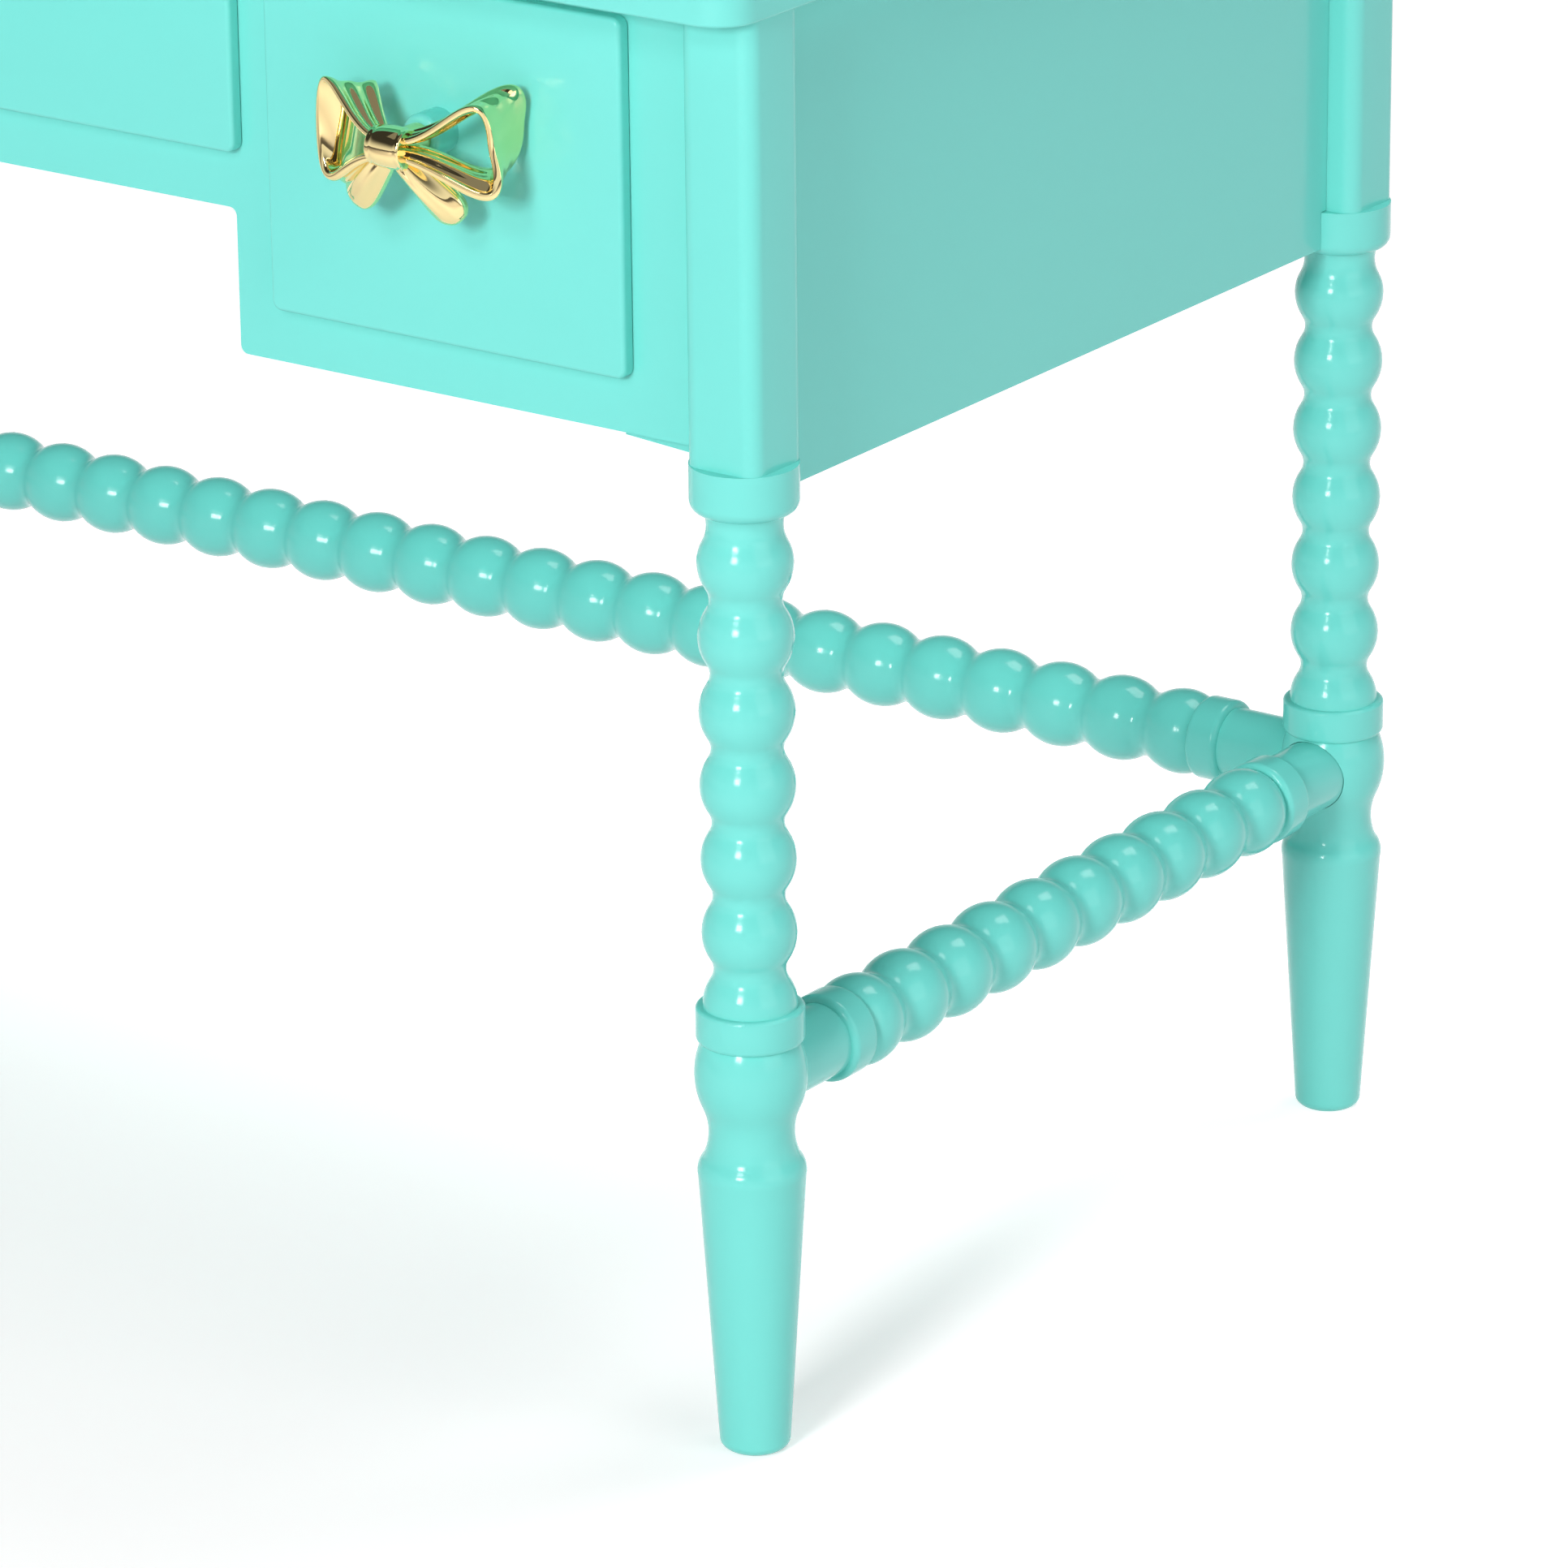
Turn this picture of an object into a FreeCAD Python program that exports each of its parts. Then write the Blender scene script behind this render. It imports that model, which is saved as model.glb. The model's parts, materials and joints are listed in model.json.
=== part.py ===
import FreeCAD
import Part
import math
import os

from FreeCAD import Vector

# Doll-size writing desk, in millimetres: +X to the sitter's right, -Y the drawer side, +Z up.
# The origin is on the floor, in the middle of the whole box, bow pulls included.

# Stance of the four legs, between their axes
leg_spacing_x = 392.6
leg_spacing_y = 185.3

# Slab top
top_underside_z = 252.0
top_thickness = 7.0
top_front_overhang = 14.0
top_side_overhang = 8.3
top_back_overhang = 8.3
top_corner_radius = 7.0
top_edge_round = 2.2
top_lower_round = 0.6

# Turned leg: heights above the floor and radii. The collar's drop is from the underside of the slab
foot_radius = 6.1
foot_round = 1.8
shoulder_z = 51.2
shoulder_radius = 9.15
shoulder_drop = 1.2
shoulder_rise = 2.4
shoulder_step = 0.95
shoulder_bulge = 0.19
neck_z = 58.2
neck_radius = 7.3
bulb_z = 68.5
bulb_radius = 9.6
bulb_half_height = 6.0
groove_radius = 8.3
ring_height = 6.2
ring_radius = 9.25
ring_top_round = 0.6
collar_drop = 84.6
collar_height = 8.4
collar_radius = 9.15
collar_round = 2.3
collar_neck_radius = 6.4
collar_cove_rise = 3.25
collar_cove_min = 8.0
post_width = 14.5
post_corner_radius = 3.0

# Bobbins on legs and stretchers
bobbin_radius = 8.05
bobbin_neck_radius = 6.1
bobbin_neck_round = 3.6
leg_bobbin_pitch = 13.0
stretcher_bobbin_pitch = 13.65
stretcher_end_min = 28.0

# Stretcher ends
stretcher_z = 67.6
stretcher_ring_radius = 7.85
stretcher_ring_width = 6.6
stretcher_ring_gap = 4.6
stretcher_ring_round = 1.2
stub_radius = 6.6
stub_seat = 6.9
tenon_radius = 4.5
tenon_end = 5.3
tenon_clearance = 0.1
tenon_end_gap = 0.3

# Case panels, whose heights are below the slab
panel_thickness = 3.0
panel_face_out = 1.5
panel_fit = 0.1
front_height = 74.8
side_height = 83.0
knee_half_width = 92.5
knee_rail_height = 49.3
knee_corner_round = 1.5
floor_thickness = 3.0
back_height = 74.8

# Drawer fronts, all with the same top edge. The margins are from the knee space and from the leg posts
drawer_top_gap = 4.0
side_front_inner_margin = 9.1
side_front_outer_margin = 13.65
side_front_height = 61.0
centre_front_overlap = 1.8
centre_front_height = 35.0
drawer_front_thickness = 2.4
drawer_front_corner = 1.8
drawer_front_edge_round = 0.8
drawer_front_lap = 4.0
drawer_closed_gap = 0.3

# Drawer trays and their guides
tray_depth = 150.0
tray_wall = 2.0
tray_side_clearance = 0.5
tray_slide_gap = 0.3
tray_head_gap = 0.6
drawer_travel = 110.0
stop_length = 6.0
stop_height = 3.2
guide_width = 2.0
guide_height = 8.0
guide_clearance = 0.4

# Bow pull and the boss that carries it
pull_height_on_side = 37.0
pull_height_on_centre = 17.5
boss_radius = 3.85
boss_length = 5.6
boss_round = 1.0
knot_stand_off = 12.8
knot_radius = 3.7
knot_end_radius = 3.2
knot_half_length = 3.3
stem_radius = 2.6
loop_flare = 1.4
loop_sweep = 2.0
loop_start = 0.1
loop_split = 1.15
loop_stations = 29
ribbon_thickness = 1.3
ribbon_thickness_below = 3.0
ribbon_width_at_knot = 3.8
ribbon_width_at_end = 10.0
ribbon_hollow = 0.8
left_loop_reach = 17.4
left_loop_height = 10.5
left_loop_lift = 1.6
left_loop_tilt_up = 4.0
left_loop_tilt_down = 30.0
left_loop_lean = 46.0
right_loop_reach = 18.6
right_loop_height = 9.3
right_loop_lift = 1.8
right_loop_tilt_up = -14.0
right_loop_tilt_down = -16.0
right_loop_lean = 0.0
tail_drop = 12.5
tail_spread = 9.5
tail_back = 6.0
tail_width = 7.4
tail_thickness = 2.2
tail_root = 0.6
tail_stations = 7
tail_blunt = 0.06
tail_end_power = 4

# Screws: the short ones hold brackets and cleats, the long ones hold the bow pulls
screw_radius = 1.4
screw_head_radius = 2.7
screw_head_height = 1.6
screw_clearance = 0.1
screw_bite = 5.0
pull_screw_bite = 6.0

# Corner brackets behind the panels, and the cleats under the slab
bracket_reach = 25.0
bracket_depth = 12.0
bracket_wall = 1.2
bracket_drop_outer = 1.5
bracket_drop_leg = 2.7
cleat_size = 9.0
cleat_inset = 18.0

# Places that follow from the sizes above
half_x = leg_spacing_x / 2
post_half = post_width / 2
drawer_face_out = panel_face_out + drawer_closed_gap + drawer_front_thickness
pull_reach = drawer_face_out + knot_stand_off + knot_radius
back_reach = max(top_back_overhang, bulb_radius)
overall_depth = pull_reach + leg_spacing_y + back_reach
front_y = pull_reach - overall_depth / 2
back_y = front_y + leg_spacing_y
panel_front_y = front_y - panel_face_out
panel_inner_y = panel_front_y + panel_thickness
back_inner_y = back_y + panel_face_out - panel_thickness
side_outer_x = half_x + panel_face_out
side_inner_x = side_outer_x - panel_thickness
collar_bottom_z = top_underside_z - collar_drop
collar_top_z = collar_bottom_z + collar_height
front_bottom_z = top_underside_z - front_height
side_bottom_z = top_underside_z - side_height
back_bottom_z = top_underside_z - back_height
knee_top_z = top_underside_z - knee_rail_height
drawer_top_z = top_underside_z - drawer_top_gap
opening_top_z = drawer_top_z - drawer_front_lap
side_front_inner_x = knee_half_width + side_front_inner_margin
side_front_outer_x = half_x - post_half - side_front_outer_margin
side_front_bottom_z = drawer_top_z - side_front_height
centre_front_half_width = knee_half_width + centre_front_overlap
centre_front_bottom_z = drawer_top_z - centre_front_height
front_back_y = panel_front_y - drawer_closed_gap
drawer_face_y = front_back_y - drawer_front_thickness
knot_y = drawer_face_y - knot_stand_off
screw_hole_radius = screw_radius + screw_clearance
X_AXIS = Vector(1, 0, 0)
Y_AXIS = Vector(0, 1, 0)
Z_AXIS = Vector(0, 0, 1)


def block(x0, x1, y0, y1, z0, z1):
    """Box between two corners."""
    return Part.makeBox(x1 - x0, y1 - y0, z1 - z0, Vector(x0, y0, z0))


def rod(radius, start, end):
    """Round bar from one point to another."""
    along = end - start
    return Part.makeCylinder(radius, along.Length, start, along)


def edges_along(shape, direction):
    """Straight edges that run along a direction."""
    found = []
    for edge in shape.Edges:
        if isinstance(edge.Curve, Part.Line):
            if edge.tangentAt(edge.FirstParameter).cross(direction).Length < 1e-6:
                found.append(edge)
    return found


def mirrored_x(shape):
    """The same piece on the other side of the desk."""
    return shape.mirror(Vector(0, 0, 0), X_AXIS)


def turned(outline):
    """Solid of revolution about Z from an outline of lines and arcs in the XZ plane."""
    wire = Part.Wire(outline)
    return Part.Face(wire).revolve(Vector(0, 0, 0), Z_AXIS, 360)


def on_profile(radius, along):
    """Point of a turned outline."""
    return Vector(radius, 0, along)


def line(start, end):
    return Part.LineSegment(start, end).toShape()


def arc(start, middle, end):
    return Part.Arc(start, middle, end).toShape()


def rounded_corner(start, corner, end):
    """Quarter arc that takes the place of a square corner."""
    centre = start + end - corner
    middle = centre + (corner - centre) / math.sqrt(2)
    return arc(start, middle, end)


def bobbin_row(first, pitch, count):
    """Arcs over a row of bobbins and the necks between them, from the first crest to the last."""
    depth = bobbin_radius - bobbin_neck_radius
    radii = ((pitch / 2) ** 2 + depth ** 2) / (2 * depth)
    crest_round = radii - bobbin_neck_round
    lean = math.asin(pitch / 2 / radii)
    rise = crest_round * math.sin(lean)
    joint_radius = bobbin_radius - crest_round * (1 - math.cos(lean))
    half_rise = crest_round * math.sin(lean / 2)
    half_radius = bobbin_radius - crest_round * (1 - math.cos(lean / 2))
    edges = []
    for index in range(count - 1):
        crest = first + index * pitch
        after = crest + pitch
        crest_end = on_profile(joint_radius, crest + rise)
        next_start = on_profile(joint_radius, after - rise)
        falling_mid = on_profile(half_radius, crest + half_rise)
        rising_mid = on_profile(half_radius, after - half_rise)
        edges.append(arc(on_profile(bobbin_radius, crest), falling_mid, crest_end))
        edges.append(arc(crest_end, on_profile(bobbin_neck_radius, crest + pitch / 2), next_start))
        edges.append(arc(next_start, rising_mid, on_profile(bobbin_radius, after)))
    return edges


def leg_outline():
    """Half profile of the turned part of a leg, from the floor to the top of the collar."""
    taper_foot = on_profile(foot_radius, foot_round)
    taper_top = on_profile(shoulder_radius, shoulder_z - shoulder_drop)
    shoulder_mid = on_profile(shoulder_radius - shoulder_bulge, shoulder_z + shoulder_rise / 2)
    shoulder_end = on_profile(shoulder_radius - shoulder_step, shoulder_z + shoulder_rise)
    bulb_start = on_profile(groove_radius, bulb_z - bulb_half_height)
    bulb_end = on_profile(groove_radius, bulb_z + bulb_half_height)
    ring_bottom_z = bulb_z + bulb_half_height
    first_crest_z = ring_bottom_z + ring_height
    ring_side_start = on_profile(ring_radius, ring_bottom_z + ring_radius - groove_radius)
    ring_side_end = on_profile(ring_radius, first_crest_z - ring_top_round)
    ring_ledge = on_profile(ring_radius - ring_top_round, first_crest_z)
    first_crest = on_profile(bobbin_radius, first_crest_z)
    bobbin_count = int((collar_bottom_z - collar_cove_min - first_crest_z) / leg_bobbin_pitch)
    last_crest_z = first_crest_z + bobbin_count * leg_bobbin_pitch
    cove_mid = on_profile(collar_neck_radius, (last_crest_z + collar_bottom_z) / 2 + collar_round)
    crest_fall = (bobbin_radius - collar_neck_radius) / 2
    crest_round = (collar_cove_rise ** 2 + crest_fall ** 2) / (2 * crest_fall)
    half_rise = collar_cove_rise / 2
    crest_mid_radius = bobbin_radius - crest_round + math.sqrt(crest_round ** 2 - half_rise ** 2)
    crest_mid = on_profile(crest_mid_radius, last_crest_z + half_rise)
    cove_start = on_profile(bobbin_radius - crest_fall, last_crest_z + collar_cove_rise)
    cove_end = on_profile(collar_radius - collar_round, collar_bottom_z)
    collar_start = on_profile(collar_radius, collar_bottom_z + collar_round)
    edges = [
        line(on_profile(0, 0), on_profile(foot_radius - foot_round, 0)),
        rounded_corner(on_profile(foot_radius - foot_round, 0), on_profile(foot_radius, 0), taper_foot),
        line(taper_foot, taper_top),
        arc(taper_top, shoulder_mid, shoulder_end),
        arc(shoulder_end, on_profile(neck_radius, neck_z), bulb_start),
        arc(bulb_start, on_profile(bulb_radius, bulb_z), bulb_end),
        rounded_corner(bulb_end, on_profile(ring_radius, ring_bottom_z), ring_side_start),
        line(ring_side_start, ring_side_end),
        rounded_corner(ring_side_end, on_profile(ring_radius, first_crest_z), ring_ledge),
        line(ring_ledge, first_crest),
    ]
    edges += bobbin_row(first_crest_z, leg_bobbin_pitch, bobbin_count + 1)
    edges += [
        arc(on_profile(bobbin_radius, last_crest_z), crest_mid, cove_start),
        arc(cove_start, cove_mid, cove_end),
        rounded_corner(cove_end, on_profile(collar_radius, collar_bottom_z), collar_start),
        line(collar_start, on_profile(collar_radius, collar_top_z)),
        line(on_profile(collar_radius, collar_top_z), on_profile(0, collar_top_z)),
        line(on_profile(0, collar_top_z), on_profile(0, 0)),
    ]
    return edges


def leg(x, y, mortise_directions):
    """Turned leg with its square post, bored for the stretchers that plug into it."""
    post_foot_z = collar_bottom_z + collar_round
    post = block(-post_half, post_half, -post_half, post_half, post_foot_z, top_underside_z)
    post = post.makeFillet(post_corner_radius, edges_along(post, Z_AXIS))
    solid = turned(leg_outline()).fuse(post).removeSplitter()
    for direction in mortise_directions:
        for radius, depth in ((tenon_radius, tenon_end), (stub_radius, stub_seat)):
            start = direction * (depth - tenon_end_gap) + Z_AXIS * stretcher_z
            end = direction * (bulb_radius + depth) + Z_AXIS * stretcher_z
            solid = solid.cut(rod(radius + tenon_clearance, start, end))
    toward_bracket = Vector(-math.copysign(1, x), 0, 0)
    solid.translate(Vector(x, y, 0))
    bite_start = Vector(x, cross_screw_y(y), bracket_screw_z()) + toward_bracket * (post_half - screw_bite)
    bite_end = bite_start + toward_bracket * screw_bite * 2
    return solid.cut(rod(screw_hole_radius, bite_start, bite_end))


def stretcher(length):
    """Bobbin-turned rail along Z, between two leg axes, with a ring and a stub at each end."""
    count = int((length - 2 * stretcher_end_min) / stretcher_bobbin_pitch) + 1
    first = (length - (count - 1) * stretcher_bobbin_pitch) / 2
    ring_inner = first - stretcher_ring_gap
    ring_outer = ring_inner - stretcher_ring_width
    crest_round = bobbin_radius
    seat_radius = math.sqrt(crest_round ** 2 - stretcher_ring_gap ** 2)
    seat_mid = math.sqrt(crest_round ** 2 - (stretcher_ring_gap / 2) ** 2)

    def end_edges(place):
        rim = stretcher_ring_radius - stretcher_ring_round
        corner = on_profile(stretcher_ring_radius, ring_outer)
        points = [
            on_profile(0, tenon_end),
            on_profile(tenon_radius, tenon_end),
            on_profile(tenon_radius, stub_seat),
            on_profile(stub_radius, stub_seat),
            on_profile(stub_radius, ring_outer),
            on_profile(rim, ring_outer),
            on_profile(stretcher_ring_radius, ring_outer + stretcher_ring_round),
            on_profile(stretcher_ring_radius, ring_inner - stretcher_ring_round),
            on_profile(rim, ring_inner),
            on_profile(seat_radius, ring_inner),
            on_profile(bobbin_radius, first),
        ]
        outer_corner = place(corner)
        inner_corner = place(on_profile(stretcher_ring_radius, ring_inner))
        crest_mid = place(on_profile(seat_mid, first - stretcher_ring_gap / 2))
        p = [place(point) for point in points]
        edges = [line(p[index], p[index + 1]) for index in (0, 1, 2, 3, 4, 6, 8)]
        edges.append(rounded_corner(p[5], outer_corner, p[6]))
        edges.append(rounded_corner(p[7], inner_corner, p[8]))
        edges.append(arc(p[9], crest_mid, p[10]))
        return edges

    def same(point):
        return point

    def far_end(point):
        return Vector(point.x, 0, length - point.z)

    edges = end_edges(same) + bobbin_row(first, stretcher_bobbin_pitch, count) + end_edges(far_end)
    edges.append(line(on_profile(0, length - tenon_end), on_profile(0, tenon_end)))
    return turned(Part.__sortEdges__(edges))


def side_stretcher(x):
    """Rail from a front leg to the back leg behind it."""
    solid = stretcher(leg_spacing_y)
    solid.rotate(Vector(0, 0, 0), X_AXIS, -90)
    solid.translate(Vector(x, front_y, stretcher_z))
    return solid


def back_stretcher():
    """Rail between the two back legs."""
    solid = stretcher(leg_spacing_x)
    solid.rotate(Vector(0, 0, 0), Y_AXIS, 90)
    solid.translate(Vector(-half_x, back_y, stretcher_z))
    return solid


def desk_top():
    """Slab with rounded plan corners, and blind screw holes over the cleats."""
    edge_x = half_x + top_side_overhang
    slab = block(-edge_x, edge_x, front_y - top_front_overhang, back_y + top_back_overhang,
                 top_underside_z, top_underside_z + top_thickness)
    slab = slab.makeFillet(top_corner_radius, edges_along(slab, Z_AXIS))
    top_rim = [edge for edge in slab.Edges if edge.BoundBox.ZMin > top_underside_z + top_thickness / 2]
    slab = slab.makeFillet(top_edge_round, top_rim)
    lower_rim = [edge for edge in slab.Edges if edge.BoundBox.ZMax < top_underside_z + top_lower_round]
    slab = slab.makeFillet(top_lower_round, lower_rim)
    for x, y in cleat_screw_places():
        start = Vector(x, y, top_underside_z)
        slab = slab.cut(rod(screw_hole_radius, start, start + Z_AXIS * screw_bite))
    return slab


def drawer_spans():
    """Each drawer's front: its left edge, right edge and bottom edge."""
    return {
        "left": (-side_front_outer_x, -side_front_inner_x, side_front_bottom_z),
        "centre": (-centre_front_half_width, centre_front_half_width, centre_front_bottom_z),
        "right": (side_front_inner_x, side_front_outer_x, side_front_bottom_z),
    }


def front_panel():
    """Drawer-side panel with the stepped knee space and an opening for each drawer."""
    end_x = half_x - post_half - panel_fit
    plate = block(-end_x, end_x, panel_front_y, panel_inner_y, front_bottom_z, top_underside_z)
    knee = block(-knee_half_width, knee_half_width, panel_front_y, panel_inner_y, front_bottom_z, knee_top_z)
    plate = plate.cut(knee)
    knee_corners = []
    for edge in edges_along(plate, Y_AXIS):
        if abs(abs(edge.BoundBox.Center.x) - knee_half_width) < panel_fit:
            knee_corners.append(edge)
    plate = plate.makeFillet(knee_corner_round, knee_corners)
    for left, right, bottom in drawer_spans().values():
        hole = block(left + drawer_front_lap, right - drawer_front_lap, panel_front_y, panel_inner_y,
                     bottom + drawer_front_lap, opening_top_z)
        plate = plate.cut(hole)
    return plate


def side_panel():
    """Right-hand end panel, cut round the collars of the legs it stands between."""
    plate = block(side_inner_x, side_outer_x, front_y + post_half + panel_fit, back_y - post_half - panel_fit,
                  side_bottom_z, top_underside_z)
    for y in (front_y, back_y):
        around = Vector(half_x, y, side_bottom_z)
        top = Vector(half_x, y, collar_top_z + panel_fit)
        plate = plate.cut(rod(collar_radius + panel_fit, around, top))
    return plate


def back_panel():
    """Plain panel between the back posts."""
    end_x = half_x - post_half - panel_fit
    return block(-end_x, end_x, back_inner_y, back_inner_y + panel_thickness, back_bottom_z, top_underside_z)


def divider():
    """Right-hand wall between a side bay and the knee space."""
    return block(knee_half_width, knee_half_width + panel_thickness, panel_inner_y, back_inner_y,
                 front_bottom_z, top_underside_z)


def bay_floor(left_wall, right_wall, span):
    """Floor of a drawer bay with two ribs that guide the tray."""
    left, right, bottom = span
    floor_top = bottom + drawer_front_lap
    plate = block(left_wall, right_wall, panel_inner_y, back_inner_y, floor_top - floor_thickness, floor_top)
    tray_left = left + drawer_front_lap + tray_side_clearance
    tray_right = right - drawer_front_lap - tray_side_clearance
    for edge, side in ((tray_left, -1), (tray_right, 1)):
        near = edge + side * guide_clearance
        far = near + side * guide_width
        rib_x = sorted((near, far))
        rib = block(rib_x[0], rib_x[1], panel_inner_y, back_inner_y, floor_top, floor_top + guide_height)
        plate = plate.fuse(rib)
    return plate.removeSplitter()


def side_bay_floor():
    """Floor of the right-hand bay, with screw holes over the corner brackets."""
    plate = bay_floor(knee_half_width + panel_thickness, side_inner_x, drawer_spans()["right"])
    for y in (front_y, back_y):
        reach = post_half + panel_fit
        relief = block(half_x - reach, half_x, y - reach, y + reach,
                       side_bottom_z, top_underside_z)
        plate = plate.cut(relief)
        start = Vector(bracket_middle_x(), upright_screw_y(y), side_bay_underside())
        plate = plate.cut(rod(screw_hole_radius, start, start + Z_AXIS * floor_thickness))
    return plate


def side_bay_underside():
    return side_front_bottom_z + drawer_front_lap - floor_thickness


def bracket_middle_x():
    """Where a right-hand bracket's upright screw stands."""
    return half_x - (bracket_reach + post_half) / 2


def inward_from_panel(leg_y, distance):
    """Place at a distance inside the front or back panel, whichever stands by this leg."""
    if leg_y < 0:
        return panel_inner_y + distance
    return back_inner_y - distance


def cross_screw_y(leg_y):
    """Line of the screw that runs from a bracket into its leg's post."""
    return inward_from_panel(leg_y, screw_head_radius)


def upright_screw_y(leg_y):
    """Line of the screw that runs from a bracket up into the bay floor."""
    return inward_from_panel(leg_y, bracket_depth - screw_head_radius - bracket_wall)


def bracket_screw_z():
    """Height of the screws that run from the brackets into the posts."""
    return (collar_top_z + side_bay_underside()) / 2 + screw_radius


def screw(head_at, direction, length, head_radius=screw_head_radius):
    """Plain screw: a low domed head and a round shank."""
    head_end = head_at - direction * screw_head_height
    head = Part.makeCylinder(head_radius, screw_head_height, head_end, direction)
    half_height = screw_head_height / 2
    rim = [edge for edge in head.Edges if (edge.BoundBox.Center - head_at).dot(direction) < -half_height]
    rim = [edge for edge in rim if isinstance(edge.Curve, Part.Circle)]
    head = head.makeFillet(screw_head_height / 2, rim)
    return head.fuse(Part.makeCylinder(screw_radius, length, head_at, direction)).removeSplitter()


def corner_bracket(leg_y):
    """Right-hand block behind a panel, deeper towards the leg it is screwed to."""
    outer_x = half_x - bracket_reach
    leg_x = half_x - post_half - panel_fit
    top_z = side_bay_underside()
    panel_y = inward_from_panel(leg_y, 0)
    corners = [
        Vector(outer_x, panel_y, top_z),
        Vector(leg_x, panel_y, top_z),
        Vector(leg_x, panel_y, front_bottom_z - bracket_drop_leg),
        Vector(outer_x, panel_y, front_bottom_z - bracket_drop_outer),
    ]
    face = Part.Face(Part.makePolygon(corners + corners[:1]))
    body = face.extrude(Y_AXIS * (inward_from_panel(leg_y, bracket_depth) - panel_y))
    around = Vector(half_x, leg_y, collar_bottom_z)
    body = body.cut(rod(collar_radius + panel_fit, around, Vector(half_x, leg_y, collar_top_z + panel_fit)))
    upright = Vector(bracket_middle_x(), upright_screw_y(leg_y), front_bottom_z - bracket_drop_leg)
    body = body.cut(rod(screw_hole_radius, upright, Vector(upright.x, upright.y, top_z)))
    well_top = upright + Z_AXIS * bracket_well_depth()
    body = body.cut(rod(screw_head_radius + screw_clearance, upright, well_top))
    cross = Vector(outer_x, cross_screw_y(leg_y), bracket_screw_z())
    return body.cut(rod(screw_hole_radius, cross, cross + X_AXIS * bracket_reach))


def bracket_well_depth():
    """Depth of the counterbore that hides the upright screw's head."""
    return bracket_drop_leg + screw_head_height


def cleat():
    """Right-hand rail in the angle between the end panel and the slab."""
    body = block(side_inner_x - cleat_size, side_inner_x, front_y + cleat_inset, back_y - cleat_inset,
                 top_underside_z - cleat_size, top_underside_z)
    for x, y in cleat_screw_places():
        if x > 0:
            start = Vector(x, y, top_underside_z - cleat_size)
            body = body.cut(rod(screw_hole_radius, start, Vector(x, y, top_underside_z)))
    return body


def cleat_screw_places():
    """Two screws up through each cleat."""
    x = side_inner_x - cleat_size / 2
    first = front_y + cleat_inset * 2
    last = back_y - cleat_inset * 2
    return [(side * x, y) for side in (-1, 1) for y in (first, last)]


def top_screws():
    """Screws through the cleats into the slab."""
    length = cleat_size + screw_bite - screw_radius
    head_z = top_underside_z - cleat_size
    return [screw(Vector(x, y, head_z), Z_AXIS, length) for x, y in cleat_screw_places()]


def pull_place(name):
    """Centre of a drawer's bow pull on its front."""
    left, right, bottom = drawer_spans()[name]
    height = pull_height_on_centre if name == "centre" else pull_height_on_side
    return (left + right) / 2, bottom + height


def drawer_front(name):
    """Overlay front with soft edges and the boss that holds the bow off its face."""
    left, right, bottom = drawer_spans()[name]
    plate = block(left, right, drawer_face_y, front_back_y, bottom, drawer_top_z)
    plate = plate.makeFillet(drawer_front_corner, edges_along(plate, Y_AXIS))
    plate_middle_y = drawer_face_y + drawer_front_thickness / 2
    face_rim = [edge for edge in plate.Edges if edge.BoundBox.YMax < plate_middle_y]
    plate = plate.makeFillet(drawer_front_edge_round, face_rim)
    x, z = pull_place(name)
    boss_end = Vector(x, drawer_face_y - boss_length, z)
    boss = rod(boss_radius, Vector(x, front_back_y, z), boss_end)
    end_rim = [edge for edge in boss.Edges if edge.BoundBox.YMax < drawer_face_y - boss_length / 2]
    boss = boss.makeFillet(boss_round, end_rim)
    solid = plate.fuse(boss).removeSplitter()
    return solid.cut(rod(screw_hole_radius, boss_end, Vector(x, front_back_y, z)))


def drawer_tray(name):
    """Open tray behind a drawer front, with stops that catch behind the panel."""
    left, right, bottom = drawer_spans()[name]
    x0 = left + drawer_front_lap + tray_side_clearance
    x1 = right - drawer_front_lap - tray_side_clearance
    z0 = bottom + drawer_front_lap + tray_slide_gap
    z1 = opening_top_z - tray_head_gap
    y0 = front_back_y
    y1 = front_back_y + tray_depth
    tray = block(x0, x1, y0, y1, z0, z1)
    inside = block(x0 + tray_wall, x1 - tray_wall, y0 + tray_wall, y1 - tray_wall, z0 + tray_wall, z1)
    tray = tray.cut(inside)
    stop_y = panel_inner_y + drawer_travel + tray_slide_gap
    for wall_x in (x0, x1 - tray_wall):
        stop = block(wall_x, wall_x + tray_wall, stop_y, stop_y + stop_length, z1, z1 + stop_height)
        tray = tray.fuse(stop)
    x, z = pull_place(name)
    start = Vector(x, y0, z)
    return tray.removeSplitter().cut(rod(screw_hole_radius, start, start + Y_AXIS * tray_wall))


def ribbon_section(centre, across, through, width, thickness, fullness):
    """Slim slot shape of a ribbon, hollowed on one long side and crowned on the other where it is full."""
    half_flat = (width - thickness) / 2
    half_thick = thickness / 2
    hollow = through * (ribbon_hollow * fullness)

    def corner(side, face):
        return centre + across * (half_flat * side) + through * (half_thick * face)

    def tip(side):
        return centre + across * (half_flat + half_thick) * side

    return Part.Wire([
        arc(corner(-1, -1), centre - through * half_thick - hollow, corner(1, -1)),
        arc(corner(1, -1), tip(1), corner(1, 1)),
        arc(corner(1, 1), centre + through * half_thick - hollow, corner(-1, 1)),
        arc(corner(-1, 1), tip(-1), corner(-1, -1)),
    ])


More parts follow.
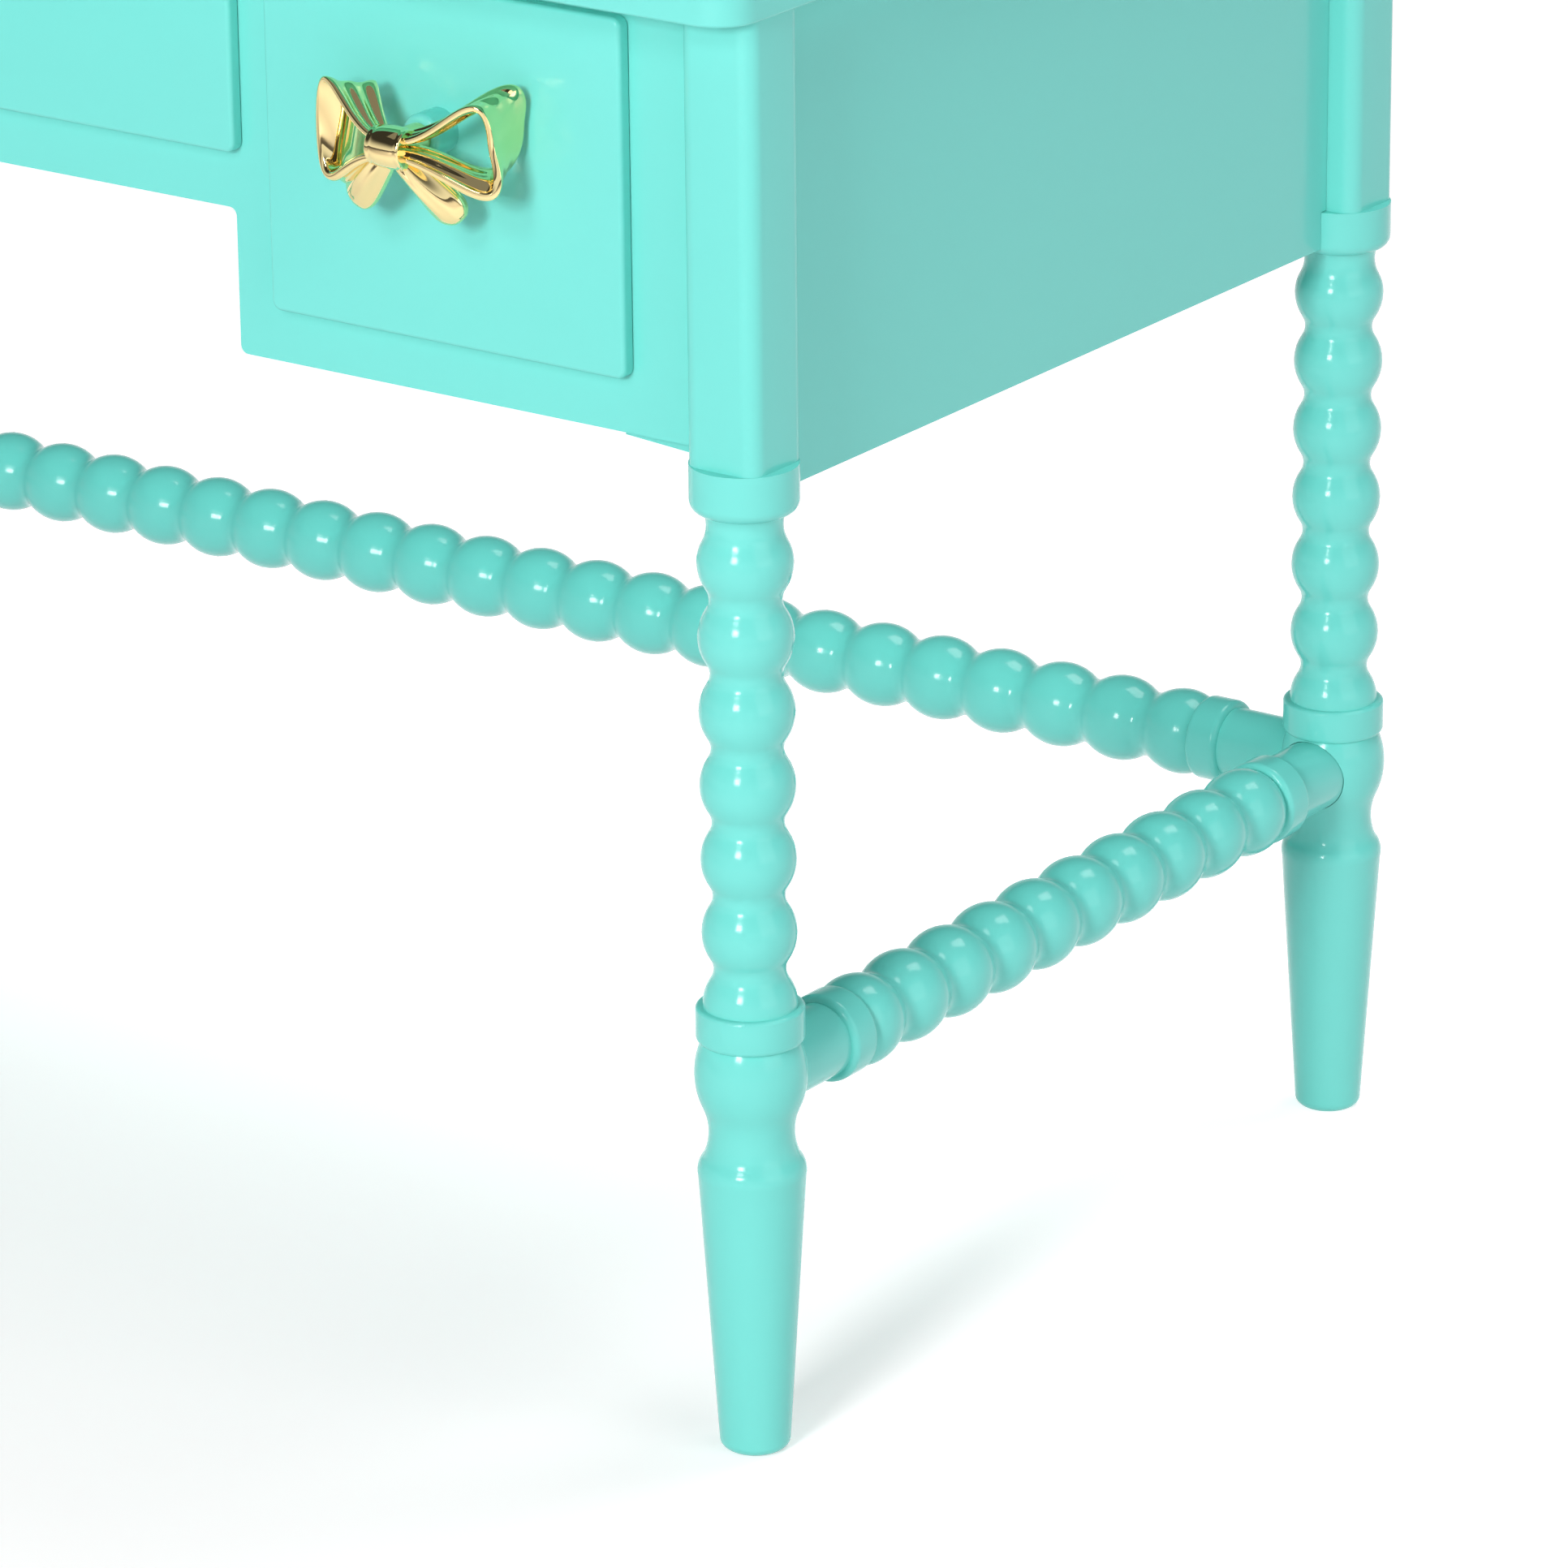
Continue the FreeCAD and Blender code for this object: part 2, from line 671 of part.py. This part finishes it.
def bow_loop(side, reach, height, lift, tilt_up, tilt_down, lean):
    """One loop of the bow: a ribbon whose front rim runs round half a flared figure of eight."""
    sections = []
    for index in range(loop_stations):
        turn = loop_start + (math.pi - 2 * loop_start) * index / (loop_stations - 1)
        fullness = math.sin(turn)
        flare = fullness ** loop_flare
        rim_x = side * reach * fullness
        rim_y = (loop_sweep + ribbon_width_at_knot / 2) * fullness ** 2 - ribbon_width_at_knot / 2
        rim_z = height * math.sin(2 * turn) * flare + lift * fullness ** 2 + loop_split * math.cos(turn)
        slope_x = side * reach * math.cos(turn)
        slope_z = height * flare * (2 * math.cos(2 * turn) + 2 * loop_flare * math.cos(turn) ** 2)
        slope_z += lift * math.sin(2 * turn) - loop_split * fullness
        lower_share = (1 - math.cos(turn)) / 2
        tilt = math.radians(tilt_up + (tilt_down - tilt_up) * lower_share)
        yaw = math.radians(-side * lean) * fullness
        across = Vector(math.sin(yaw), math.cos(yaw) * math.cos(tilt), -math.sin(tilt)).normalize()
        outward = Vector(slope_x, 0, slope_z).cross(across).normalize() * side
        width = ribbon_width_at_knot + (ribbon_width_at_end - ribbon_width_at_knot) * fullness
        extra = (ribbon_thickness_below - ribbon_thickness) * lower_share * fullness
        middle = Vector(rim_x, rim_y, rim_z) + across * (width / 2)
        sections.append(ribbon_section(middle, across, outward, width, ribbon_thickness + extra, fullness))
    return Part.makeLoft(sections, True, True)


def bow_tail():
    """Right-hand tail: a short ribbon that hangs behind the loop and ends round."""
    sections = []
    across = Vector(tail_drop, 0, tail_spread).normalize()
    along = Vector(tail_spread, tail_back, -tail_drop)
    through = across.cross(along).normalize()
    for index in range(tail_stations):
        fall = index / (tail_stations - 1 + tail_blunt)
        fullness = tail_root + (1 - tail_root) * fall
        rounding = math.sqrt(1 - fall ** tail_end_power)
        width = tail_width * fullness * rounding
        thickness = tail_thickness * rounding
        sections.append(ribbon_section(along * fall, across, through, width, thickness, fullness / 2))
    return Part.makeLoft(sections, True, False)


def bow_pull(name):
    """Plated bow with two loops, two tails, a wrapped knot and the stem that seats on the boss."""
    ends = [on_profile(0, -knot_half_length), on_profile(knot_end_radius, -knot_half_length),
            on_profile(knot_end_radius, knot_half_length), on_profile(0, knot_half_length)]
    knot = turned([
        line(ends[0], ends[1]),
        arc(ends[1], on_profile(knot_radius, 0), ends[2]),
        line(ends[2], ends[3]),
        line(ends[3], ends[0]),
    ])
    knot.rotate(Vector(0, 0, 0), Y_AXIS, 90)
    stem_end = Vector(0, knot_stand_off - boss_length, 0)
    solid = knot.fuse(rod(stem_radius, Vector(0, 0, 0), stem_end))
    tail = bow_tail()
    left_loop = bow_loop(-1, left_loop_reach, left_loop_height, left_loop_lift,
                         left_loop_tilt_up, left_loop_tilt_down, left_loop_lean)
    right_loop = bow_loop(1, right_loop_reach, right_loop_height, right_loop_lift,
                          right_loop_tilt_up, right_loop_tilt_down, right_loop_lean)
    for ribbon in (left_loop, right_loop, tail, mirrored_x(tail)):
        solid = solid.fuse(ribbon)
    solid = solid.cut(rod(screw_hole_radius, stem_end, stem_end - Y_AXIS * pull_screw_bite))
    x, z = pull_place(name)
    solid.translate(Vector(x, knot_y, z))
    return solid


def pull_screw(name):
    """Screw from inside the tray, through the front and its boss, into the bow's stem."""
    x, z = pull_place(name)
    head_y = front_back_y + tray_wall
    length = tray_wall + drawer_front_thickness + boss_length + pull_screw_bite - screw_radius
    return screw(Vector(x, head_y, z), Y_AXIS * -1, length)


def bracket_screws():
    """Screws from the brackets up into the bay floors and across into the posts."""
    pieces = []
    seat = front_bottom_z - bracket_drop_leg + bracket_well_depth()
    upright_length = side_bay_underside() + floor_thickness - seat - screw_clearance
    outer_x = half_x - bracket_reach
    cross_length = bracket_reach - post_half + screw_bite - screw_radius
    for y in (front_y, back_y):
        upright = screw(Vector(bracket_middle_x(), upright_screw_y(y), seat), Z_AXIS, upright_length)
        cross = screw(Vector(outer_x, cross_screw_y(y), bracket_screw_z()), X_AXIS, cross_length)
        pieces += [upright, mirrored_x(upright), cross, mirrored_x(cross)]
    return pieces


def build():
    """Every piece of the desk by name."""
    side = side_panel()
    wall = divider()
    floor = side_bay_floor()
    rail = cleat()
    brackets = [corner_bracket(y) for y in (front_y, back_y)]
    spans = drawer_spans()
    to_back = Y_AXIS
    to_front = Y_AXIS * -1
    pieces = {
        "desk_top": desk_top(),
        "front_panel": front_panel(),
        "back_panel": back_panel(),
        "side_panel_right": side,
        "side_panel_left": mirrored_x(side),
        "divider_right": wall,
        "divider_left": mirrored_x(wall),
        "bay_floor_right": floor,
        "bay_floor_left": mirrored_x(floor),
        "bay_floor_centre": bay_floor(-knee_half_width, knee_half_width, spans["centre"]),
        "leg_front_right": leg(half_x, front_y, [to_back]),
        "leg_front_left": leg(-half_x, front_y, [to_back]),
        "leg_back_right": leg(half_x, back_y, [to_front, X_AXIS * -1]),
        "leg_back_left": leg(-half_x, back_y, [to_front, X_AXIS]),
        "stretcher_right": side_stretcher(half_x),
        "stretcher_left": side_stretcher(-half_x),
        "stretcher_back": back_stretcher(),
        "top_cleat_right": rail,
        "top_cleat_left": mirrored_x(rail),
        "corner_brackets": Part.makeCompound(brackets + [mirrored_x(piece) for piece in brackets]),
        "bracket_screws": Part.makeCompound(bracket_screws()),
        "top_screws": Part.makeCompound(top_screws()),
    }
    for name in spans:
        pieces["drawer_front_" + name] = drawer_front(name)
        pieces["drawer_tray_" + name] = drawer_tray(name)
        pieces["bow_pull_" + name] = bow_pull(name)
        pieces["pull_screw_" + name] = pull_screw(name)
    return pieces


os.makedirs("parts", exist_ok=True)
for node, shape in build().items():
    shape.exportStep("parts/" + node + ".step")
    print(node, len(shape.Solids), shape.isValid(), round(shape.Volume, 1))
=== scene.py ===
import json
import math

import bmesh
import bpy
from mathutils import Euler, Matrix, Vector


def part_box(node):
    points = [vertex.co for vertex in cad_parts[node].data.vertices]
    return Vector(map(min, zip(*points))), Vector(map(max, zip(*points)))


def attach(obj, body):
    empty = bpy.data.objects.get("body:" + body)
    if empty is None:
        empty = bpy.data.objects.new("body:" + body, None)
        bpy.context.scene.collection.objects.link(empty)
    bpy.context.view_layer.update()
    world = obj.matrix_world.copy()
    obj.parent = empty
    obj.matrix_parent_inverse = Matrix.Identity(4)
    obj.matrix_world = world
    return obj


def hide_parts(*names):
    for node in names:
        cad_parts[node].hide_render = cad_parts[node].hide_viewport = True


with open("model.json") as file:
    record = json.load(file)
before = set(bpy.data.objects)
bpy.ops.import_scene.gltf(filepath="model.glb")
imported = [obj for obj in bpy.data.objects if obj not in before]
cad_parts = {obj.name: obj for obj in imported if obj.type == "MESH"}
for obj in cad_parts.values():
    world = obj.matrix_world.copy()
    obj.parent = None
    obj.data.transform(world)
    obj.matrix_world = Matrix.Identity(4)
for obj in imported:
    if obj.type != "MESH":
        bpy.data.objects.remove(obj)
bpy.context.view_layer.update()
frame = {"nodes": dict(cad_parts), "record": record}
nodes = frame["nodes"]
scene = bpy.context.scene
mm = 0.001
white = (1, 1, 1, 1)
black = (0, 0, 0, 1)
print("frame loaded:", len(nodes), "nodes")


# one socket of a shader tree, so that shader maths reads as plain sums
class Wire:
    def __init__(self, tree, socket=None):
        self.tree, self.socket = tree, socket

    def node(self, kind, out=0, settings=None, **inputs):
        made = self.tree.nodes.new(kind)
        for name, value in (settings or {}).items():
            setattr(made, name, value)
        for name, value in inputs.items():  # i0 is socket number 0, any other name is the socket's own
            key = int(name[1:]) if name[0] == "i" and name[1:].isdigit() else name.replace("_", " ")
            if isinstance(value, Wire):
                self.tree.links.new(value.socket, made.inputs[key])
            else:
                made.inputs[key].default_value = value
        return Wire(self.tree, made.outputs[out])

    def maths(self, operation, first, second):
        return self.node("ShaderNodeMath", settings={"operation": operation}, i0=first, i1=second)

    def __add__(self, other):
        return self.maths("ADD", self, other)

    def __radd__(self, other):
        return self.maths("ADD", other, self)

    def __sub__(self, other):
        return self.maths("SUBTRACT", self, other)

    def __rsub__(self, other):
        return self.maths("SUBTRACT", other, self)

    def __mul__(self, other):
        return self.maths("MULTIPLY", self, other)

    def __rmul__(self, other):
        return self.maths("MULTIPLY", other, self)

    def blend(self, first, second):  # colour mix, this value as the factor
        return self.node("ShaderNodeMix", out=2, settings={"data_type": "RGBA"}, i0=self, i6=first, i7=second)

    def into(self, shader, name):
        self.tree.links.new(self.socket, shader.inputs[name])


def newFinish(name, surface):  # surface holds what is the same all over
    material = bpy.data.materials.new(name)
    material.use_nodes = True
    tree = material.node_tree
    shader = tree.nodes["Principled BSDF"]
    for socket, value in surface.items():
        shader.inputs[socket].default_value = value
    return material, shader, Wire(tree).node("ShaderNodeTexCoord", out="Object")


def cloud(place, scale, detail):
    return place.node("ShaderNodeTexNoise", Vector=place, Scale=scale, Detail=detail)


def uneven(noise, middle, spread):  # a level that wanders about its middle
    return noise * spread + (middle - spread / 2)


def ripple(skin, strength, depth):
    return skin.node("ShaderNodeBump", Strength=strength, Distance=depth, Height=skin)


plastic = {  # flow, haze and skin are the scale and the detail of a noise
    "surface": {"IOR": 1.5, "Specular IOR Level": 0.28, "Coat Weight": 0.06, "Coat Roughness": 0.04},
    "tone": (0.195, 0.75, 0.68, 1),  # turquoise in the light
    "deep": (0.175, 0.72, 0.655, 1),  # where the melt ran a little thicker
    "flow": (9.0, 3.0),
    "gloss": 0.16,
    "glossSpread": 0.07,
    "haze": (55.0, 3.0),
    "skin": (70.0, 1.0),
    "skinStrength": 0.25,
    "skinDepth": 0.00004,
}


def turquoisePlastic():
    material, shader, place = newFinish("turquoisePlastic", plastic["surface"])
    flow = cloud(place, *plastic["flow"])
    flow.blend(plastic["tone"], plastic["deep"]).into(shader, "Base Color")
    haze = cloud(place, *plastic["haze"])
    uneven(haze, plastic["gloss"], plastic["glossSpread"]).into(shader, "Roughness")
    skin = cloud(place, *plastic["skin"])
    ripple(skin, plastic["skinStrength"], plastic["skinDepth"]).into(shader, "Normal")
    return material


gold = {  # thin, haze and skin are the scale and the detail of a noise
    "surface": {"Metallic": 1.0},
    "tone": (0.97, 0.81, 0.42, 1),
    "deep": (0.94, 0.75, 0.35, 1),
    "thin": (120.0, 2.0),
    "gloss": 0.06,
    "glossSpread": 0.04,
    "haze": (400.0, 2.0),
    "skin": (160.0, 1.0),
    "skinStrength": 0.15,
    "skinDepth": 0.0001,
}


def goldPlating():
    material, shader, place = newFinish("goldPlating", gold["surface"])
    thin = cloud(place, *gold["thin"])
    thin.blend(gold["tone"], gold["deep"]).into(shader, "Base Color")
    haze = cloud(place, *gold["haze"])
    uneven(haze, gold["gloss"], gold["glossSpread"]).into(shader, "Roughness")
    skin = cloud(place, *gold["skin"])
    ripple(skin, gold["skinStrength"], gold["skinDepth"]).into(shader, "Normal")
    return material


steel = {
    "surface": {"Metallic": 1.0},
    "tone": (0.62, 0.63, 0.65, 1),
    "dull": (0.48, 0.49, 0.52, 1),
    "bloom": (900.0, 2.0),  # scale and detail of its noise
    "gloss": 0.3,
    "glossSpread": 0.12,
}


def zincSteel():
    material, shader, place = newFinish("zincSteel", steel["surface"])
    bloom = cloud(place, *steel["bloom"])
    bloom.blend(steel["tone"], steel["dull"]).into(shader, "Base Color")
    uneven(bloom, steel["gloss"], steel["glossSpread"]).into(shader, "Roughness")
    return material


finishes = {
    "turquoise_plastic": turquoisePlastic(),
    "gold_plating": goldPlating(),
    "screw_steel": zincSteel(),
}
print("finishes made:", ", ".join(finishes))


shading = {
    "creaseAngle": 32,  # sharper edges stay crisp
    "weldGap": 0.001 * mm,
}


def smoothFaces(mesh):
    mesh.polygons.foreach_set("use_smooth", [True] * len(mesh.polygons))


def smoothShade(piece):
    smoothFaces(piece.data)
    weld = piece.modifiers.new("weld", "WELD")
    weld.merge_threshold = shading["weldGap"]
    split = piece.modifiers.new("creases", "EDGE_SPLIT")
    split.split_angle = math.radians(shading["creaseAngle"])


for subpart in frame["record"]["subparts"]:  # every carried-over node gets its finish
    piece = nodes[subpart["node"]]
    piece.data.materials.clear()
    piece.data.materials.append(finishes[subpart["material_slot"]])
    smoothShade(piece)
print("nodes finished")


bow = {  # millimetres from the middle of the knot
    "loops": {  # left and right, with degrees on the upper and the lower band
        -1: {"reach": 17.4, "spread": 0.0, "height": 10.5, "lift": 1.6, "tilt": (4, 30), "lean": (46, -20)},
        1: {"reach": 18.6, "spread": 9.0, "height": 9.3, "lift": 1.8, "tilt": (-14, -16), "lean": (-16, 66)},
    },
    "widthAtKnot": 3.8,
    "widthAtEnd": 10.0,
    "thin": 1.3,
    "thickBelow": 3.0,  # the lower band
    "hollow": 1.0,
    "edgePull": 1.35,  # draws a ring's points out to the edges of the ribbon
    "flare": 1.4,
    "sweep": 2.0,  # how far the loops bend back
    "split": 1.15,  # half the gap of the two bands at the knot
    "start": 0.1,  # radians of a loop that the knot hides at each end
    "step": 0.02,  # radians to either side, for the slope
    "stations": 25,
    "around": 36,
    "foldDepth": 0.42,
    "folds": 2.5,
    "tails": {-1: Vector((-12.0, 5.0, -12.0)), 1: Vector((9.5, 6.0, -12.5))},
    "tailWidth": 8.2,
    "tailThick": 3.2,
    "tailSlim": 0.6,  # thickness to width at most
    "tailRoot": 0.5,  # width at the knot to full width
    "tailStations": 13,
    "tailBlunt": 8,
    "tailTip": 0.985,  # the last ring stops just short of a point
    "tailCrease": 1.1,
    "knotRadius": 3.7,
    "knotHalf": 3.5,
    "knotWrap": [(1, 0.95), (1, 0.5), (0.93, 0.28), (0.8, 0.3), (0.7, 0.35), (0.55, 0.12), (0, 0)],
    "stemRadius": 2.6,
    "stemEdge": 0.2,  # keeps the end of the stem crisp
    "turnedAround": 72,
    "smoothing": 2,
}


def between(low, high, share):
    return low + (high - low) * share


def ringEdges(ring):
    return list(dict.fromkeys(edge for vert in ring for edge in vert.link_edges))


def ribbonRing(bm, middle, across, through, width, thick, hollow, fold):
    ring = bmesh.ops.create_circle(bm, segments=bow["around"], radius=1.0)["verts"]
    halfFlat = (width - thick) / 2
    for vert in ring:
        side, face = vert.co.x, vert.co.y
        reach = max(-1.0, min(1.0, side * bow["edgePull"]))
        along = halfFlat * reach + thick / 2 * side
        crown = thick / 2 * face - hollow * (1 - reach * reach)
        crown += fold * math.cos(reach * math.pi * bow["folds"])
        vert.co = middle + across * along + through * crown
    return ringEdges(ring)


def joinRings(bm, rings):
    for first, second in zip(rings, rings[1:]):
        bmesh.ops.bridge_loops(bm, edges=first + second)
    bmesh.ops.holes_fill(bm, edges=rings[0] + rings[-1], sides=0)


def loopRim(side, turn):  # front edge of a loop, from the upper band round to the lower one
    loop, full, cosine = bow["loops"][side], math.sin(turn), math.cos(turn)
    out = loop["reach"] * full + loop["spread"] * max(0.0, -cosine) * full ** 2
    back = (bow["sweep"] + bow["widthAtKnot"] / 2) * full ** 2 - bow["widthAtKnot"] / 2
    high = loop["height"] * math.sin(2 * turn) * full ** bow["flare"]
    high += loop["lift"] * full ** 2 + bow["split"] * cosine
    return Vector((side * out, back, high))


def bowLoop(bm, side):
    loop, rings = bow["loops"][side], []
    for index in range(bow["stations"]):
        turn = between(bow["start"], math.pi - bow["start"], index / (bow["stations"] - 1))
        full = math.sin(turn)  # 0 at the knot, 1 at the end of the loop
        below = (1 - math.cos(turn)) / 2  # 0 on the upper band, 1 on the lower one
        rim = loopRim(side, turn)
        slope = loopRim(side, turn + bow["step"]) - loopRim(side, turn - bow["step"])
        tilt = math.radians(between(*loop["tilt"], below))
        lean = math.radians(between(*loop["lean"], below ** 2))
        yaw = -side * lean * full
        across = Vector((math.sin(yaw), math.cos(yaw) * math.cos(tilt), -math.sin(tilt))).normalized()
        outward = slope.cross(across).normalized() * side
        width = between(bow["widthAtKnot"], bow["widthAtEnd"], full)
        thick = between(bow["thin"], bow["thickBelow"], below * full)
        fold = bow["foldDepth"] * full * (1 - full) * 4  # full depth where full is a half
        middle = rim + across * width / 2
        rings.append(ribbonRing(bm, middle, across, outward, width, thick, bow["hollow"] * full, fold))
    joinRings(bm, rings)


def bowTail(bm, side):
    fall = bow["tails"][side]
    across = Vector((-fall.z, 0, fall.x)).normalized() * side
    through = across.cross(fall).normalized() * side
    rings = []
    for index in range(bow["tailStations"]):
        share = index / (bow["tailStations"] - 1)
        rounding = math.sqrt(max(0.0, 1 - (share * bow["tailTip"]) ** bow["tailBlunt"]))
        width = bow["tailWidth"] * between(bow["tailRoot"], 1, share) * rounding
        thick = min(bow["tailThick"], width * bow["tailSlim"])
        fold = bow["foldDepth"] * (1 - share)
        crease = bow["tailCrease"] * math.sin(share * math.pi) * rounding
        rings.append(ribbonRing(bm, fall * share, across, through, width, thick, crease, fold))
    joinRings(bm, rings)


def turnedRings(bm, turn, profile):
    rings = []
    for along, radius in profile:
        place = turn @ Matrix.Translation((0, 0, along))
        ring = bmesh.ops.create_circle(bm, segments=bow["turnedAround"], radius=radius, matrix=place)
        rings.append(ringEdges(ring["verts"]))
    joinRings(bm, rings)


def bowKnot(bm):  # the wrap gives shares of the half length and how far the knot lies below its radius there
    wrap = [(-bow["knotHalf"] * share, bow["knotRadius"] - drop) for share, drop in bow["knotWrap"]]
    profile = wrap + [(-along, radius) for along, radius in reversed(wrap[:-1])]
    turnedRings(bm, Matrix.Rotation(math.radians(90), 4, "Y"), profile)


def bowStem(bm, length):  # from the knot back to the boss of the drawer front
    profile = [(along, bow["stemRadius"]) for along in (0, length / 2, length - bow["stemEdge"], length)]
    turnedRings(bm, Matrix.Rotation(math.radians(-90), 4, "X"), profile)


def bowPull(name):
    screwLow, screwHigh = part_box("pull_screw_" + name)
    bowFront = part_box("bow_pull_" + name)[0][1]
    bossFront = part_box("drawer_front_" + name)[0][1]
    screwX, screwZ = (screwLow[0] + screwHigh[0]) / 2, (screwLow[2] + screwHigh[2]) / 2
    middle = Vector((screwX, bowFront + bow["knotRadius"] * mm, screwZ))
    bm = bmesh.new()
    for side in bow["loops"]:
        bowLoop(bm, side)
        bowTail(bm, side)
    bowKnot(bm)
    bowStem(bm, (bossFront - middle.y) / mm)
    bmesh.ops.transform(bm, matrix=Matrix.Translation(middle) @ Matrix.Scale(mm, 4), verts=bm.verts)
    bmesh.ops.recalc_face_normals(bm, faces=bm.faces)
    mesh = bpy.data.meshes.new("bow_" + name)
    bm.to_mesh(mesh)
    bm.free()
    smoothFaces(mesh)
    piece = bpy.data.objects.new("bow_" + name, mesh)
    scene.collection.objects.link(piece)
    smooth = piece.modifiers.new("smooth", "SUBSURF")
    smooth.levels = smooth.render_levels = bow["smoothing"]
    mesh.materials.append(finishes["gold_plating"])
    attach(piece, "drawer_" + name)
    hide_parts("bow_pull_" + name)


for name in ("left", "centre", "right"):
    bowPull(name)
print("bows tied")


studio = {  # metres
    "floorSpan": 12.0,
    "floor": {
        # pinkish, which cancels the turquoise light that the desk bounces onto the floor
        "Base Color": (0.88, 0.82, 0.825, 1),
        "Roughness": 0.9,
        "Specular IOR Level": 0.0,
        "Emission Strength": 1.0,
    },
    "glowFront": 0.43,  # seen by the eye and in mirrors only, lifts the floor to white
    "paintedLightBehind": 0.68,  # painted light: the floor under and behind the desk glows brighter, washing out the desk's shade there
    "glowFrom": -0.09,
    "glowTo": 0.08,
    "tableEdge": -0.62,  # the table greys away in front, out of the picture
    "tableWhite": -0.34,
    "skyLow": 0.9,  # room level at the horizon
    "skyHigh": 0.04,  # and from skyTurn upwards
    "skyTurn": 0.5,
}


def ramp(value, start, end, low, high):  # soft change from one level to another
    return value.node("ShaderNodeMapRange", settings={"interpolation_type": "SMOOTHSTEP"}, Value=value,
                      From_Min=start, From_Max=end, To_Min=low, To_Max=high)


def seenBy(tree, *rays):  # 1 for these kinds of ray, 0 for any other
    return sum(Wire(tree).node("ShaderNodeLightPath", out=ray) for ray in rays)


def paleFloor():
    mesh = bpy.data.meshes.new("floor")
    bm = bmesh.new()
    bmesh.ops.create_grid(bm, x_segments=1, y_segments=1, size=studio["floorSpan"] / 2)
    bm.to_mesh(mesh)
    bm.free()
    floor = bpy.data.objects.new("floor", mesh)
    scene.collection.objects.link(floor)
    material, shader, place = newFinish("paleFloor", studio["floor"])
    lit = seenBy(material.node_tree, "Is Camera Ray", "Is Glossy Ray", "Is Transmission Ray")
    back = place.node("ShaderNodeSeparateXYZ", out="Y", Vector=place)
    # painted light: the glow rises towards the back of the desk, lifting the desk's shade on the floor
    fade = ramp(back, studio["glowFrom"], studio["glowTo"], studio["glowFront"], studio["paintedLightBehind"])
    table = ramp(back, studio["tableEdge"], studio["tableWhite"], 0.0, 1.0)
    (lit * fade * table).blend(black, white).into(shader, "Emission Color")
    mesh.materials.append(material)


def whiteRoom():  # white to the eye, darker overhead for mirrors and for the light
    world = bpy.data.worlds.new("whiteRoom")
    scene.world = world
    world.use_nodes = True
    tree = world.node_tree
    direct = seenBy(tree, "Is Camera Ray", "Is Transmission Ray")
    aim = Wire(tree).node("ShaderNodeTexCoord", out="Generated")
    height = aim.node("ShaderNodeSeparateXYZ", out="Z", Vector=aim)
    sky = ramp(height, 0.0, studio["skyTurn"], studio["skyLow"], studio["skyHigh"])
    background = tree.nodes["Background"]
    background.inputs["Color"].default_value = white
    (direct + (1 - direct) * sky).into(background, "Strength")


softBox = {
    "aim": Vector((0, 0, 0.12)),  # above the front right foot
    "lamps": {  # bearing from straight ahead, height angle, distance, width and watts
        "key": (8, 23, 1.5, 0.34, 12.3),
        "keyAbove": (4, 41, 1.6, 0.3, 4.0),
        "right": (84, 24, 1.5, 1.1, 5.3),
        "overhead": (-20, 80, 1.5, 1.2, 0.9),
        "behind": (165, 62, 1.6, 0.7, 8.0),
    },
}


def softBoxes(foot):
    target = foot + softBox["aim"]
    for name, (bearing, height, distance, width, watts) in softBox["lamps"].items():
        light = bpy.data.lights.new(name, "AREA")
        light.size = width
        light.energy = watts
        box = bpy.data.objects.new(name, light)
        reach = Vector((0, -distance, 0))
        reach.rotate(Euler((math.radians(-height), 0, math.radians(bearing))))
        box.location = target + reach
        box.rotation_euler = (target - box.location).to_track_quat("-Z", "Y").to_euler()
        scene.collection.objects.link(box)


view = {  # the photograph's camera, measured from the foot of the front right leg
    "stand": Vector((0.73987, -1.02877, 0.58218)),
    "azimuth": 35.448,
    "elevation": 20.046,
    "roll": -0.575,
    "lens": 187.2,
    "sensor": 36.0,
    "farthest": 50.0,
}


def photoCamera(foot):
    camera = bpy.data.cameras.new("photoCamera")
    camera.lens = view["lens"]
    camera.sensor_width = view["sensor"]
    camera.clip_end = view["farthest"]
    eye = bpy.data.objects.new("photoCamera", camera)
    turn = Euler((math.radians(90 - view["elevation"]), 0, math.radians(view["azimuth"]))).to_matrix()
    eye.matrix_world = (turn @ Euler((0, 0, math.radians(view["roll"]))).to_matrix()).to_4x4()
    eye.location = foot + view["stand"]
    scene.collection.objects.link(eye)
    scene.camera = eye


legLow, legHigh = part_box("leg_front_right")
legFoot = Vector(((legLow[0] + legHigh[0]) / 2, (legLow[1] + legHigh[1]) / 2, 0))
paleFloor()
whiteRoom()
softBoxes(legFoot)
photoCamera(legFoot)
scene.view_settings.view_transform = "Standard"
print("camera and light set")
